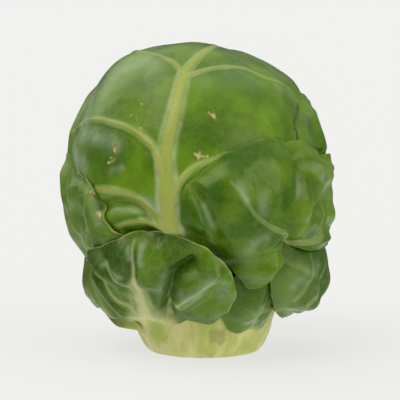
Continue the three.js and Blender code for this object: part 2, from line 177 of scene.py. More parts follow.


# Leaves, innermost first. A point is (azimuth, latitude), and in an outline may add the margin's stand-off.
# Lift cups the middle, press flattens the margin, pucker swells the surface, and settle runs the foot into
# the stem. Base is (azimuth, latitude, reach) of the pale foot. The tone bounds mark where the green goes
# from dark to light, a painted sheen on one side of the leaf.
# Veins are (half width at the root, at the tip, height, paleness, path), or a tree of a midrib with ribs.
# Folds are (height, half width, path). Strokes of wax bloom with painted sheen, strokes of painted shade in
# gaps and hollows, and dry scars are (half width, strength, path).
LEAVES = (
    dict(
        name="back_right_leaf", look="wrapper", centre=(140, 5), lift=0.2, base=(138, -62, 9),
        outline=(
            (140, 60), (170, 48), (188, 18, 0.3), (190, -15), (175, -46, 0.3), (150, -64), (128, -62),
            (116, -44), (98, -14), (92, 18), (108, 46),
        ),
        tree=((138, -60), (136, -8), (139, 30), (140, 56)), pairs=5, spread=50,
    ),
    dict(
        name="back_left_leaf", look="wrapper", centre=(-142, 5), lift=0.2, base=(-138, -62, 9),
        outline=(
            (-142, 58), (-120, 44), (-102, 20), (-94, -12), (-100, -45), (-122, -63), (-150, -64),
            (-172, -46, 0.3), (-188, -12), (-192, 22, 0.4), (-176, 50),
        ),
        tree=((-140, -60), (-150, 0), (-148, 38), (-143, 56)), pairs=5, spread=50,
    ),
    dict(
        name="crown_leaf", look="crown", centre=(-14, 45), lift=0.3, press=0.25, base=(-9, -26, 5),
        outline=(
            (-12, -28), (-36, -26), (-58, -20), (-80, -4), (-102, 20), (-126, 40, 0.3), (-160, 48),
            (165, 48, 0.3), (138, 40), (116, 28), (92, 16), (66, 2), (40, -10), (14, -22),
        ),
        veins=(
            (2.3, 0.24, 0.35, 1.0, (
                (-9, -24), (-11, -12), (-12.8, 1), (-13.2, 12), (-14.2, 21), (-13.2, 30), (-11.2, 38.5),
                (-8.5, 50), (-6, 60), (-1, 65), (20, 75.5), (75, 80), (140, 78),
            )),
            (1.2, 0.55, 0.45, 1.0, (
                (-13, -11), (-17, -7), (-21.5, -3), (-27.5, 2.5), (-37.5, 5.5), (-54, 5.5),
            )),
            (0.65, 0.45, 0.5, 0.8, ((-11, -15), (-17, -10), (-23.5, -7.5), (-30, -8), (-42, -11.5))),
            (0.62, 0.3, 0.4, 0.8, (
                (-16, 15), (-19.5, 25), (-25.5, 29.5), (-34.5, 33.5), (-49.5, 35.5), (-69, 35), (-84, 31),
                (-96, 25),
            )),
            (0.42, 0.22, 0.35, 0.7, ((-7, 57), (-12.5, 64.5), (-34, 70), (-68, 71), (-112, 63))),
            (0.62, 0.35, 0.35, 0.9, (
                (-14, -6), (-11.5, 2), (-8.5, 8), (-5.5, 13.5), (0.5, 18.5), (9.5, 21.5), (16, 24),
            )),
            (0.48, 0.26, 0.35, 0.75, (
                (-7, 55), (-3.5, 58.5), (7, 61.5), (31, 63.5), (50, 61.5), (64, 55), (82, 47.5), (89, 40),
            )),
        ),
        folds=(
            (0.4, 7.0, ((-60, 77), (70, 79))), (0.6, 4.0, ((86, 48), (108, 44))),
            (0.7, 4.5, ((-105, 62), (-90, 58))), (0.4, 6.0, ((-98, 36), (-94, 22))),
            (0.5, 4.0, ((-98, 24), (-90, 15))),
            (-0.95, 0.9, ((-20, -6), (-26, -1), (-33, 1), (-42, 0), (-50, -3))),
            (-0.6, 0.8, ((-18, -14), (-25, -12), (-34, -14))),
        ),
        bloom_and_sheen_strokes=(
            (2.4, 0.45, ((-72, 42), (-66.5, 51), (-58, 61))), (1.9, 0.9, ((-87, 42), (-80, 34), (-76, 28))),
            (2.0, 0.35, ((-54, 66), (-38, 62), (-29, 57))),
            (1.2, 0.65, ((-82, 25), (-66, 28.5), (-50, 28), (-42, 26))),
            (1.3, 0.8, ((-86, 21), (-76, 16.5), (-67, 14))), (0.9, 0.5, ((-24, 2), (-19, -1), (-17, -5))),
            (0.6, 0.45, ((-43, 14.5), (-37, 16.5))), (0.5, 0.45, ((-44, -4.5), (-34, -3), (-27, -3.5))),
            (1.8, 0.22, ((10, 57), (27, 59.5), (43, 57))), (1.0, 0.3, ((70, 50), (80, 44))),
        ),
        painted_shade_strokes=(
            (0.25, 0.8, ((86, 39.5), (72.5, 37), (65.5, 34))),
            (0.45, 0.35, ((-48, -10.5), (-38, -7.5), (-25.5, -5))),
            (0.4, 0.2, ((-50, 0), (-41.5, 0.5), (-32, 0), (-25.5, -2.5))),
            (0.6, 0.4, ((-43, -13), (-29, -13), (-22, -12))), (2.4, 0.2, ((-40, 50), (-30, 44), (-25, 37))),
        ),
        scars=(
            (0.28, 0.8, ((49, 65.5), (51.5, 63), (55, 61.5), (59, 59.5))),
            (0.24, 0.9, ((8.5, 42), (10.5, 40.5), (12, 39))), (0.2, 0.8, ((11.5, 43), (11.5, 40))),
            (0.26, 1.0, ((0, 24), (2, 23), (6, 23))), (0.22, 0.9, ((2.5, 25), (1.5, 22))),
            (0.24, 1.0, ((-44.5, 26), (-42, 25.5), (-43, 24), (-41, 23))),
            (0.26, 1.0, ((-46, 18), (-43.5, 18.5), (-42.5, 20), (-44.5, 20.5))),
            (0.24, 0.7, ((-32, 45), (-31, 45))), (0.22, 0.7, ((-37, 39.5), (-36, 40))),
            (0.22, 0.8, ((-38.5, 37.5), (-38.5, 35.5))), (0.22, 0.7, ((-29.5, 34.5), (-28, 34.5))),
        ),
    ),
    dict(
        name="top_right_leaf", look="top", centre=(98, 26), lift=-0.3, press=0.95, base=(105, 0, 3),
        outline=(
            (98, 41), (80, 39), (67, 34), (61, 28), (58, 22), (74, 15), (100, 13), (126, 14),
            (143, 26, 0.3), (138, 36, 0.2), (120, 42, 0.2),
        ),
        tree=((108, 9), (112, 18), (113, 28), (112, 40)), pairs=4, spread=50,
        painted_shade_strokes=(
            (0.27, 1.0, (
                (85, 39.5), (71.5, 37), (65, 33.5), (64, 30), (60.5, 23.5), (68, 21.8), (84.5, 18.6),
            )),
        ),
    ),
    dict(
        name="left_leaf", look="left", centre=(-86, -14), lift=0.1, press=0.8, pucker=0.16,
        base=(-94, -60, 6),
        outline=(
            (-98, 15), (-82, 14), (-72, 11), (-61, 8.5), (-54.5, 5), (-50, -1), (-48, -7, 0.2),
            (-42, -13, 0.3), (-36, -16), (-42, -28), (-60, -46), (-84, -62), (-106, -58), (-122, -36),
            (-128, -8, 0.4), (-116, 10),
        ),
        veins=(
            (0.45, 0.2, 0.22, 0.5, ((-92, -58), (-84, -40), (-79, -20), (-77, 0), (-78, 10))),
            (0.35, 0.18, 0.2, 0.5, ((-84, -46), (-70, -32), (-62, -18), (-58, -6), (-58, 4))),
            (0.35, 0.18, 0.2, 0.4, ((-92, -50), (-98, -30), (-104, -10), (-106, 6))),
            (0.3, 0.16, 0.16, 0.4, ((-74, -36), (-62, -30), (-52, -24), (-46, -16))),
        ),
        folds=(
            (0.75, 3.0, ((-94, -9), (-88, -16))), (-0.6, 3.2, ((-98, 8), (-86, 6))),
            (-0.4, 0.7, ((-72, -32), (-69, -14), (-68, 2))), (0.4, 0.9, ((-55, -24), (-53, -8), (-56, 2))),
            (-0.4, 0.6, ((-62, -30), (-60, -14), (-62, 0))), (0.35, 0.9, ((-76, -24), (-74, -8), (-74, 4))),
        ),
        bloom_and_sheen_strokes=(
            (0.6, 0.4, ((-85.5, 3), (-71.5, -4))), (0.5, 0.45, ((-63.5, -3.5), (-56, -13))),
            (0.5, 0.35, ((-53.5, 0.5), (-50.5, -10))),
        ),
        painted_shade_strokes=((0.24, 0.8, ((-64.5, 9.5), (-61, 7))), (0.24, 0.8, ((-53.5, 3.5), (-51.5, 0), (-51, -5)))),
        scars=(
            (0.24, 0.7, ((-74, 10.5), (-67.5, 10.5))), (0.26, 1.0, ((-55, 4), (-52, 3), (-49.5, 3.2))),
            (0.26, 1.0, ((-51.5, -5), (-49.5, -7.5), (-48.5, -8))),
            (0.24, 0.9, ((-43.5, -12.5), (-40.5, -13.5), (-37.5, -13.5))),
        ),
    ),
    dict(
        name="back_low_left_leaf", look="low", centre=(-165, -36), lift=0.6, base=(-160, -66, 8),
        outline=(
            (-165, -2, 0.4), (-138, -10, 0.2), (-122, -34, 0.5), (-134, -56), (-160, -66), (-186, -62),
            (-206, -40, 0.4), (-195, -12),
        ),
        tree=((-160, -64), (-162, -44), (-165, -24), (-165, -6)), pairs=4, spread=48,
    ),
    dict(
        name="back_low_right_leaf", look="low", centre=(132, -38), lift=0.6, base=(132, -62, 7),
        outline=(
            (130, -2, 0.5), (150, -12), (164, -38, 0.4), (152, -56), (132, -61), (117, -54), (107, -36),
            (110, -12, 0.3),
        ),
        tree=((132, -60), (131, -44), (130, -24), (130, -6)), pairs=4, spread=48,
    ),
    dict(
        name="small_low_leaf", look="small", centre=(42, -50), lift=0.6, settle=0.9, base=(44, -67, 2.8),
        outline=(
            (18, -60), (14, -47), (25, -36), (37, -31), (49, -32), (58, -33), (60, -40), (60, -50),
            (58, -60.5), (40, -61.5),
        ),
        veins=(
            (0.35, 0.16, 0.15, 0.5, ((40, -60), (43, -50), (49, -40), (54, -35))),
            (0.25, 0.14, 0.1, 0.4, ((40, -56), (33, -51), (27, -49))),
            (0.25, 0.14, 0.1, 0.4, ((42, -53), (50, -51), (56, -49))),
        ),
        folds=(
            (0.45, 1.3, ((26, -52), (36, -48))), (0.4, 1.2, ((50, -54), (55, -46))),
            (-0.4, 0.8, ((43, -55), (46, -46))),
        ),
        bloom_and_sheen_strokes=((0.35, 0.5, ((33, -57), (44, -58))), (0.4, 0.4, ((47.5, -40), (57, -48.5)))),
    ),
    dict(
        name="right_low_leaf", look="right_low", centre=(78, -38), lift=4.1, pucker=0.14,
        base=(56, -53, 1.6),
        outline=(
            (58, -54, 0.4), (48, -48, 0.3), (43, -40), (45, -28), (56, -19), (74, -14), (92, -16),
            (104, -26, 0.8), (108, -40, 2.0), (102, -48, 1.3), (91, -53, 1.2), (76, -55, 1.1),
        ),
        veins=(
            (0.26, 0.14, 0.1, 0.8, ((57, -50), (68, -42), (78, -36), (88, -31))),
            (0.2, 0.12, 0.08, 0.8, ((58, -51), (70, -47), (82, -43), (94, -37))),
            (0.2, 0.12, 0.08, 0.7, ((59, -52), (72, -51), (84, -49), (96, -44))),
            (0.2, 0.12, 0.08, 0.6, ((56, -46), (64, -36), (74, -29), (84, -24))),
            (0.16, 0.1, 0.06, 0.6, ((54, -42), (58, -32), (64, -24))),
        ),
        folds=(
            (-0.6, 0.6, ((60, -51.5), (72, -49), (84, -46), (96, -40))),
            (-0.5, 0.7, ((60, -48), (70, -44.5), (80, -40), (91, -34))),
            (0.35, 0.8, ((60, -43), (74, -38), (88, -32))), (-0.7, 1.0, ((53, -34), (54, -41), (55, -48))),
        ),
        bloom_and_sheen_strokes=(
            (0.5, 0.35, ((57, -29.5), (68, -28))), (0.45, 0.4, ((52, -36.5), (55.5, -32.5))),
            (0.5, 0.4, ((57.5, -43.5), (75.5, -43.5))),
        ),
        painted_shade_strokes=((1.0, 0.45, ((46, -29), (50, -25), (58, -21.5))),),
    ),
    dict(
        name="right_leaf", look="right", centre=(40, -5), lift=0.3, press=0.75, pucker=0.12,
        side_sheen_bounds=(-14, 16), base=(51, -23, 2.0),
        outline=(
            (-7, -6, 0.2), (-6.5, 2), (-4, 9, 0.1), (2, 15), (9.5, 21), (17, 24.5, 0.2), (26, 28),
            (36, 29, 0.2), (49, 27), (74, 19), (95, 13), (109, 3), (113, -10, 0.2), (105, -18, 0.2),
            (84, -20.5, 0.4), (73, -21.5, 0.2), (62, -22), (51, -22.5), (42, -29), (38, -34, 0.1),
            (32.5, -39, 0.1), (27.5, -39.8, 0.1), (23.5, -36.5), (17.5, -30), (11, -21), (6, -16), (0, -12),
        ),
        veins=(
            (0.42, 0.18, 0.16, 0.6, (
                (50, -21), (48, -15.5), (41, -12), (34.5, -9.5), (26.5, -4), (21.5, 2), (18.5, 6), (15, 11),
            )),
            (0.22, 0.14, 0.1, 0.3, ((48, -20), (40, -20), (30, -20), (22, -18))),
            (0.18, 0.1, 0.05, 0.12, ((46, -15), (39, -5), (35, 6), (32, 16), (29, 23))),
            (0.38, 0.16, 0.2, 0.65, ((53, -20.5), (62, -18.5), (71, -15.5), (78, -11), (82, -4), (84, 4))),
            (0.22, 0.14, 0.1, 0.3, ((53, -17), (58, -4), (60, 8), (60, 18))),
            (0.22, 0.14, 0.1, 0.3, ((48, -22), (42, -27), (36, -33), (32, -37))),
        ),
        folds=(
            (-0.7, 1.2, ((51, -21), (48.5, -12), (49, -2), (52, 8))),
            (0.7, 2.6, ((31, -27), (25, -14), (21, -2), (19, 8))), (0.5, 1.8, ((40, -25), (37, -15))),
            (0.35, 1.6, ((41, -8), (38, 2), (39, 12))), (-0.8, 0.8, ((0, 8), (3, 3), (6, -4), (10, -13))),
            (0.55, 1.5, ((-3, 8), (-2, 0), (2, -9))), (0.5, 1.3, ((57, 0), (59, -9), (57, -14))),
            (-0.45, 0.9, ((58, -16), (67, -12), (74, -6))), (0.4, 1.0, ((62, -20), (72, -18), (82, -14))),
            (0.95, 3.0, ((90, 2), (91, -6))), (-1.4, 1.5, ((80, 11.5), (98, 6.5))),
        ),
        bloom_and_sheen_strokes=(
            (0.55, 0.5, ((18, 10), (21, 3.5))), (0.9, 0.45, ((29, 4.5), (29, -2))),
            (0.8, 0.4, ((24, -19), (25.5, -15), (31, -13.5))), (0.45, 0.45, ((3.5, 1), (7, -8))),
            (0.45, 0.4, ((53.5, 9.5), (52, 3))), (1.2, 0.25, ((82.5, 10.5), (86.5, -2))),
            (0.4, 0.5, ((57.5, -16), (70.5, -13.5))),
        ),
        painted_shade_strokes=((0.45, 0.35, ((7.5, 4.5), (10.5, 4), (14, 3.5))), (1.2, 0.22, ((30, 15), (35, 10)))),
    ),
    dict(
        name="left_low_leaf", look="left_low", centre=(-88, -46), lift=1.6, press=0.9, base=(-60, -66, 5),
        outline=(
            (-66, -32), (-84, -33), (-105, -32, 0.2), (-122, -36, 0.6), (-124, -46, 0.8), (-110, -51, 0.6),
            (-94, -53, 0.3), (-82, -55, 0.1), (-70, -59), (-60, -64), (-52, -65.5), (-54, -55), (-58, -42),
        ),
        veins=(
            (0.45, 0.2, 0.2, 0.6, ((-62, -62), (-74, -55), (-86, -47), (-97, -40), (-104, -35))),
            (0.25, 0.14, 0.1, 0.5, ((-74, -55), (-76, -46), (-78, -36))),
            (0.25, 0.14, 0.1, 0.5, ((-84, -50), (-100, -48), (-114, -45))),
        ),
        folds=(
            (-0.5, 0.7, ((-66, -54), (-74, -44), (-78, -36))),
            (0.4, 0.8, ((-80, -46), (-84, -38), (-86, -33))),
        ),
    ),
    dict(
        name="front_low_leaf", look="front_low", centre=(-24, -38), lift=1.8, pucker=0.16, settle=0.9,
        side_sheen_bounds=(-12, 14), base=(-43, -64, 5.4),
        outline=(
            (-62, -28, 0.3), (-58, -23, 0.5), (-54, -20, 0.4), (-47, -19), (-35, -14, 0.2), (-25, -12),
            (-14, -12), (-3.5, -14), (5, -17.5), (13, -24.5), (17.5, -32), (18.5, -39, 0.2), (17, -46, 0.3),
            (11, -53, 0.3), (0, -57.5, 0.2), (-14, -58), (-26, -60), (-34, -64), (-43, -65.5), (-53, -65),
            (-56, -58, 0.1), (-60, -48, 0.3), (-64, -36, 0.4),
        ),
        veins=(
            (4.2, 0.45, 0.5, 1.0, (
                (-43, -66), (-41, -61), (-37, -53.5), (-35.5, -46), (-32.5, -37), (-30, -30),
            )),
            (0.34, 0.14, 0.14, 0.6, ((-32, -36), (-29.5, -28), (-28.5, -22), (-29, -15))),
            (0.4, 0.16, 0.16, 0.6, ((-38, -48), (-36.5, -39), (-38.5, -31), (-43.5, -24))),
            (0.46, 0.18, 0.18, 0.6, ((-40, -54), (-45, -46), (-50.5, -39), (-54, -30))),
            (0.26, 0.12, 0.1, 0.6, ((-24, -51), (-12, -41), (-1, -34), (8, -27))),
            (1.0, 0.35, 0.25, 0.3, ((-40, -60), (-32, -57), (-25, -54), (-20, -49))),
        ),
        folds=(
            (-1.9, 0.8, (
                (-25, -55), (-22.5, -51), (-20, -46), (-16.5, -40), (-13.5, -34.5), (-11.5, -30),
                (-8.5, -27), (-2.5, -24),
            )),
            (1.6, 2.0, ((-11, -40), (-1, -34.5), (7, -28.5))),
            (-0.5, 1.1, ((-14, -50), (0, -45), (10, -41))), (0.5, 0.9, ((14, -48), (16, -41), (14, -34))),
            (0.6, 1.3, ((-25, -32), (-24, -22), (-23, -15))),
            (0.6, 1.2, ((-34, -30), (-34, -22), (-35, -17))),
            (-0.35, 0.6, ((-31.5, -34), (-29.5, -28), (-28.5, -21), (-29, -15))),
            (-0.35, 0.6, ((-36.5, -38), (-38.5, -31), (-43.5, -24))),
            (-0.4, 0.7, ((-45, -46), (-50.5, -39), (-54, -30))),
            (0.55, 1.0, ((-42, -36), (-46, -30), (-50, -24))),
            (0.5, 1.0, ((-50, -48), (-57, -40), (-60, -33))),
        ),
        bloom_and_sheen_strokes=(
            (0.3, 0.5, ((-30.5, -17), (-29.5, -21.5))), (0.45, 0.7, ((-24.5, -17), (-24.5, -22.5))),
            (0.35, 0.6, ((-44.5, -24.5), (-35, -28))), (0.9, 0.55, ((-6.5, -39), (0, -35), (5.5, -29))),
            (0.7, 0.4, ((-14.5, -29), (-17.5, -34.5))), (0.6, 0.5, ((11.5, -42), (13, -33.5))),
        ),
        painted_shade_strokes=((0.6, 0.35, ((-47, -20), (-35, -15.5), (-25, -13.5), (-14, -13.5), (-3.5, -15.5))),),
    ),
)

# Whitish green beside the thick veins
HALO = shade(170, 184, 130)

# Whitish wax bloom, also used for painted sheen: highlights and reflections painted on the leaves
BLOOM_AND_SHEEN = shade(156, 176, 142)

# Painted shade: dark green for the shadow in gaps between leaves, in hollows and under margins
PAINTED_SHADE_GREEN = shade(40, 60, 12)

# Dry scar, pale and brown
SCAR_TONES = (shade(196, 188, 134), shade(140, 112, 66))

# Greens of each look: dark, light, vein, pale foot
LOOKS = {
    "crown": (shade(62, 100, 0), shade(98, 136, 14), shade(160, 170, 80), shade(176, 184, 120)),
    "wrapper": (shade(64, 100, 16), shade(94, 126, 38), shade(140, 156, 84), shade(168, 178, 112)),
    "top": (shade(66, 104, 10), shade(96, 132, 32), shade(134, 154, 80), shade(150, 164, 92)),
    "left": (shade(70, 105, 20), shade(118, 146, 64), shade(158, 174, 112), shade(168, 178, 112)),
    "right": (shade(52, 92, 0), shade(98, 132, 22), shade(134, 158, 74), shade(150, 164, 90)),
    "front_low": (shade(46, 82, 0), shade(88, 126, 16), shade(202, 204, 138), shade(208, 206, 142)),
    "small": (shade(54, 92, 10), shade(90, 122, 34), shade(136, 154, 76), shade(180, 184, 100)),
    "right_low": (shade(58, 92, 20), shade(98, 128, 54), shade(134, 152, 88), shade(150, 160, 90)),
    "left_low": (shade(66, 94, 18), shade(100, 124, 40), shade(150, 160, 74), shade(176, 178, 92)),
    "low": (shade(64, 98, 22), shade(98, 128, 44), shade(146, 160, 84), shade(184, 186, 124)),
}


# Shared mathematics

def smoothstep(low, high, x):
    """Cubic ease from 0 at low to 1 at high."""
    t = np.clip((x - low) / (high - low), 0, 1)
    return t * t * (3 - 2 * t)


def through(x, stations):
    """Cubic Hermite curve through stations, with harmonic slopes so that it never overshoots them."""
    xs, ys = np.array(stations, float).T
    secants = np.diff(ys) / np.diff(xs)
    slopes = np.concatenate((secants[:1], np.zeros(len(xs) - 2), secants[-1:]))
    product = secants[:-1] * secants[1:]
    total = np.where(product > 0, secants[:-1] + secants[1:], 1)
    slopes[1:-1] = np.where(product > 0, 2 * product / total, 0)
    i = np.clip(np.searchsorted(xs, x, side="right") - 1, 0, len(xs) - 2)
    span = xs[i + 1] - xs[i]
    t = np.clip((x - xs[i]) / span, 0, 1)
    ends = (1 + 2 * t) * (1 - t) ** 2 * ys[i] + t * t * (3 - 2 * t) * ys[i + 1]
    return ends + span * t * (1 - t) * ((1 - t) * slopes[i] - t * slopes[i + 1])


def direction(azimuth, latitude):
    """Unit vectors at azimuths (0 at the front, 90 at the right) and latitudes in degrees."""
    az = np.radians(np.asarray(azimuth, float))
    lat = np.radians(np.asarray(latitude, float))
    return np.stack((np.cos(lat) * np.sin(az), -np.cos(lat) * np.cos(az), np.sin(lat)), -1)


def on_bulb(d, height):
    """Points so high over the bare bulb, leaned sideways with their height."""
    latitude = np.degrees(np.arcsin(np.clip(d[..., 2], -1, 1)))
    p = d * (through(latitude, BULB) + height)[..., None]
    p[..., 2] += HEAD_CENTRE
    p[..., 0] += through(p[..., 2], LEAN)
    return p


def smooth_path(points, steps=6):
    """Catmull-Rom curve through flat points, as a denser row of points."""
    padded = np.concatenate((2 * points[:1] - points[1:2], points, 2 * points[-1:] - points[-2:-1]))
    t = (np.arange(steps) / steps)[None, :, None]
    a, b, c, d = (padded[k:len(padded) - 3 + k, None, :] for k in range(4))
    square = (2 * a - 5 * b + 4 * c - d) * t ** 2
    cube = (3 * b - a - 3 * c + d) * t ** 3
    curve = 0.5 * (2 * b + (c - a) * t + square + cube)
    return np.concatenate((curve.reshape(-1, 2), points[-1:]))


def along_path(points, path, reach):
    """Distance from flat points to a path, within reach, and how far along it the nearest point lies."""
    far = 1e3
    nearest = np.full(points.shape[:-1], far)
    where = np.zeros(points.shape[:-1])
    near = np.all((points > path.min(0) - reach) & (points < path.max(0) + reach), axis=-1)
    q = points[near]
    best = np.full(len(q), far)
    place = np.zeros(len(q))
    count = len(path) - 1
    for k in range(count):
        step = path[k + 1] - path[k]
        t = np.clip(((q - path[k]) @ step) / (step @ step), 0, 1)
        distance = np.linalg.norm(q - path[k] - t[..., None] * step, axis=-1)
        closer = distance < best
        best = np.where(closer, distance, best)
        place = np.where(closer, (k + t) / count, place)
    nearest[near] = best
    where[near] = place
    return nearest, where


def ripple(q, size, seed):
    """Smooth uneven swell over flat points: a sum of seeded plane waves of about the given length."""
    random = np.random.default_rng(seed)
    total = np.zeros(q.shape[:-1])
    waves = 7
    for _ in range(waves):
        angle = random.uniform(0, 2 * np.pi)
        length = size * random.uniform(0.7, 1.5)
        phase = random.uniform(0, 2 * np.pi)
        total += np.sin(2 * np.pi * (q @ np.array((np.cos(angle), np.sin(angle)))) / length + phase)
    return total / waves


# Leaf form

class Leaf:
    """One leaf on the head: its map about a centre direction, its outline, veins, folds and stand-off."""

    def __init__(self, index, name, look, centre, outline, lift, base, veins=(), folds=(), bloom_and_sheen_strokes=(),
                 painted_shade_strokes=(), scars=(), press=MARGIN_PRESS, pucker=0.10, settle=0.6, side_sheen_bounds=NO_SIDE_SHEEN, **tree):
        azimuth, latitude = centre
        self.index, self.name, self.look = index, name, look
        self.lift, self.press, self.pucker, self.settle, self.side_sheen_bounds = lift, press, pucker, settle, side_sheen_bounds
        self.axis = direction(azimuth, latitude)
        self.north = direction(azimuth, latitude + 90)
        self.east = direction(azimuth + 90, 0)
        rows = sorted(self.margin_row(*point) for point in outline)
        turned = [(bearing + turn, angle, lift) for turn in (-360, 0, 360) for bearing, angle, lift in rows]
        self.reaches = [(bearing, angle) for bearing, angle, _ in turned]
        self.lifts = [(bearing, lift) for bearing, _, lift in turned]
        self.veins = self.on_map(veins)
        if tree:
            self.veins += self.vein_tree(**tree)
        self.veins += [side for vein in tuple(self.veins) for side in self.side_veins(vein[-1])]
        self.folds = self.on_map(folds)
        # Strokes of wax bloom with painted sheen, of painted shade, and of dry scars
        self.bloom_and_sheen_strokes, self.painted_shade_strokes, self.scars = self.on_map(bloom_and_sheen_strokes), self.on_map(painted_shade_strokes), self.on_map(scars)
        self.base = (self.flat(direction(*base[:2])), base[2])

    def margin_row(self, azimuth, latitude, lift=0.0):
        """Bearing, angle from the centre and stand-off of one point of the outline."""
        angle, bearing = self.polar(direction(azimuth, latitude))
        return float(bearing), float(angle), lift

    def polar(self, d):
        """Angle from the leaf's centre and bearing about it, 0 to the north and 90 to the east."""
        angle = np.degrees(np.arccos(np.clip(d @ self.axis, -1, 1)))
        return angle, np.degrees(np.arctan2(d @ self.east, d @ self.north))

    def flat(self, d):
        """Place on the leaf's flat map, in millimetres."""
        angle, bearing = self.polar(d)
        turn = np.radians(bearing)
        return (angle * ARC)[..., None] * np.stack((np.sin(turn), np.cos(turn)), -1)

    def flat_points(self, path):
        """A path of azimuths and latitudes on the leaf's flat map."""
        return self.flat(direction(*np.array(path, float).T))

    def on_map(self, rows):
        """Rows that end with a path, with a smooth path on the leaf's flat map in its place."""
        return [(*row[:-1], smooth_path(self.flat_points(row[-1]))) for row in rows]

    def directions(self, share, bearing):
        """Directions at a share of the way from the centre to the margin, on a bearing."""
        angle = np.radians(share * through(bearing, self.reaches))
        turn = np.radians(bearing)
        side = np.cos(turn)[..., None] * self.north + np.sin(turn)[..., None] * self.east
        return np.cos(angle)[..., None] * self.axis + np.sin(angle)[..., None] * side

    def vein_tree(self, tree, pairs, spread):
        """A midrib along a path, with pairs of ribs that leave it at an angle and bend to the tip."""
        midrib = smooth_path(self.flat_points(tree), 10)
        veins = [(*PLAIN_MIDRIB, midrib)]
        length = np.linalg.norm(np.diff(midrib, axis=0), axis=1).sum()
        for k in range(2 * pairs):
            start = RIB_START + RIB_SPAN * (k // 2 + RIB_STAGGER * (k % 2)) / pairs
            side = 1 if k % 2 else -1
            reach = RIB_LENGTH * length * (1 - RIB_LOSS * start)
            veins.append((*PLAIN_RIB, self.branch(midrib, start, side * spread, reach)))
        return veins

    def side_veins(self, path):
        """Fine veins that leave a vein's path in turn to either side."""
        length = np.linalg.norm(np.diff(path, axis=0), axis=1).sum()
        count = int(length / FINE_SPACING)
        reach = FINE_SHARE * length + FINE_LENGTH
        return [
            (*FINE_VEIN, self.branch(path, (k + 0.8) / (count + 1), FINE_ANGLE * (-1) ** k, reach))
            for k in range(count)
        ]

    @staticmethod
    def branch(path, start, angle, length):
        """A curve that leaves a path at an angle and bends back along it."""
        at = start * (len(path) - 1)
        k = min(int(at), len(path) - 2)
        ahead = path[k + 1] - path[k]
        ahead = ahead / np.linalg.norm(ahead)
        turn = np.radians(angle)
        out = np.array((ahead[0] * np.cos(turn) - ahead[1] * np.sin(turn),
                        ahead[0] * np.sin(turn) + ahead[1] * np.cos(turn)))
        s = np.linspace(0, 1, 9)[:, None]
        root = path[k] + (at - k) * (path[k + 1] - path[k])
        return root + length * (s * out + BRANCH_BEND * s ** 2 * (ahead - BRANCH_SLOWING * out))

    def share(self, d):
        """Share of the way from the centre to the margin, with the angle from the centre and the bearing."""
        angle, bearing = self.polar(d)
        return angle / through(bearing, self.reaches), angle, bearing

    def stand_off(self, d):
        """Height over what lies under the leaf: a cupped middle, a lifted margin and its folds."""
        share, _, bearing = self.share(d)
        share = np.minimum(share, 1)
        height = self.lift * (1 - share ** 2) + through(bearing, self.lifts) * share ** 3
        q = self.flat(d)
        for rise, half, path in self.folds:
            distance, _ = along_path(q, path, 3 * half)
            height = height + rise * np.exp(-(distance / half) ** 2)
        return np.maximum(height, DEEPEST_DIP)

    def layer(self, d):
        """Height of the outer face over what lies under the leaf, pressed down towards the margin."""
        return (GAP + BLADE) * (1 - self.press * self.rim(d)) + self.stand_off(d)

    def rim(self, d):
        """0 over the body of the leaf, rising to 1 at its margin."""
        _, angle, bearing = self.share(d)
        return 1 - smoothstep(0, PRESS_WIDTH, (through(bearing, self.reaches) - angle) * ARC)

    def cover(self, d):
        """1 over the leaf, falling to 0 past its margin."""
        _, angle, bearing = self.share(d)
        return 1 - smoothstep(SHOULDER, SHOULDER + FALL, angle - through(bearing, self.reaches))

    @staticmethod
    def strokes(q, paths):
        """Soft strokes over flat points along paths, each with its half width and strength."""
        total = np.zeros(q.shape[:-1])
        for half, strength, path in paths:
            distance, _ = along_path(q, path, 3 * half)
            total = np.maximum(total, strength * np.exp(-(distance / half) ** 2))
        return total

    def marks(self, d):
        """Relief and paleness of the veins, their soft halo and the pale foot."""
        q = self.flat(d)
        relief, vein, halo = (np.zeros(q.shape[:-1]) for _ in range(3))
        for root, tip, height, pale, path in self.veins:
            distance, where = along_path(q, path, 5 * root + 1.2)
            half = root + (tip - root) * where
            profile = np.exp(-(distance / half) ** 2) * smoothstep(1.0, TIP_FADE, where)
            relief = np.maximum(relief, height * (1 - HEIGHT_LOSS * where) * profile)
            band = np.exp(-(distance / (PALE_WIDTH * half)) ** 4)
            vein = np.maximum(vein, pale * (1 - PALE_LOSS * where) * band)
            flank = (distance - FLANK_PLACE * half) / (FLANK_WIDTH * half + FLANK_LEAST)
            halo = np.maximum(halo, pale * (1 - HALO_LOSS * where) * np.exp(-flank ** 2))
        place, reach = self.base
        foot = 1 - smoothstep(FOOT_CORE * reach, reach, np.linalg.norm(q - place, axis=-1))
        return relief, vein, halo, foot


HEAD = [Leaf(index, **leaf) for index, leaf in enumerate(LEAVES)]


def stack_under(index, d):
    """Height over the bare bulb of the leaves that lie under the leaf of this index."""
    height = np.zeros(d.shape[:-1])
    for leaf in HEAD[:index]:
        cover = leaf.cover(d)
        if cover.any():
            height = height + cover * (GAP + BLADE + leaf.stand_off(d))
    return height


# Meshes

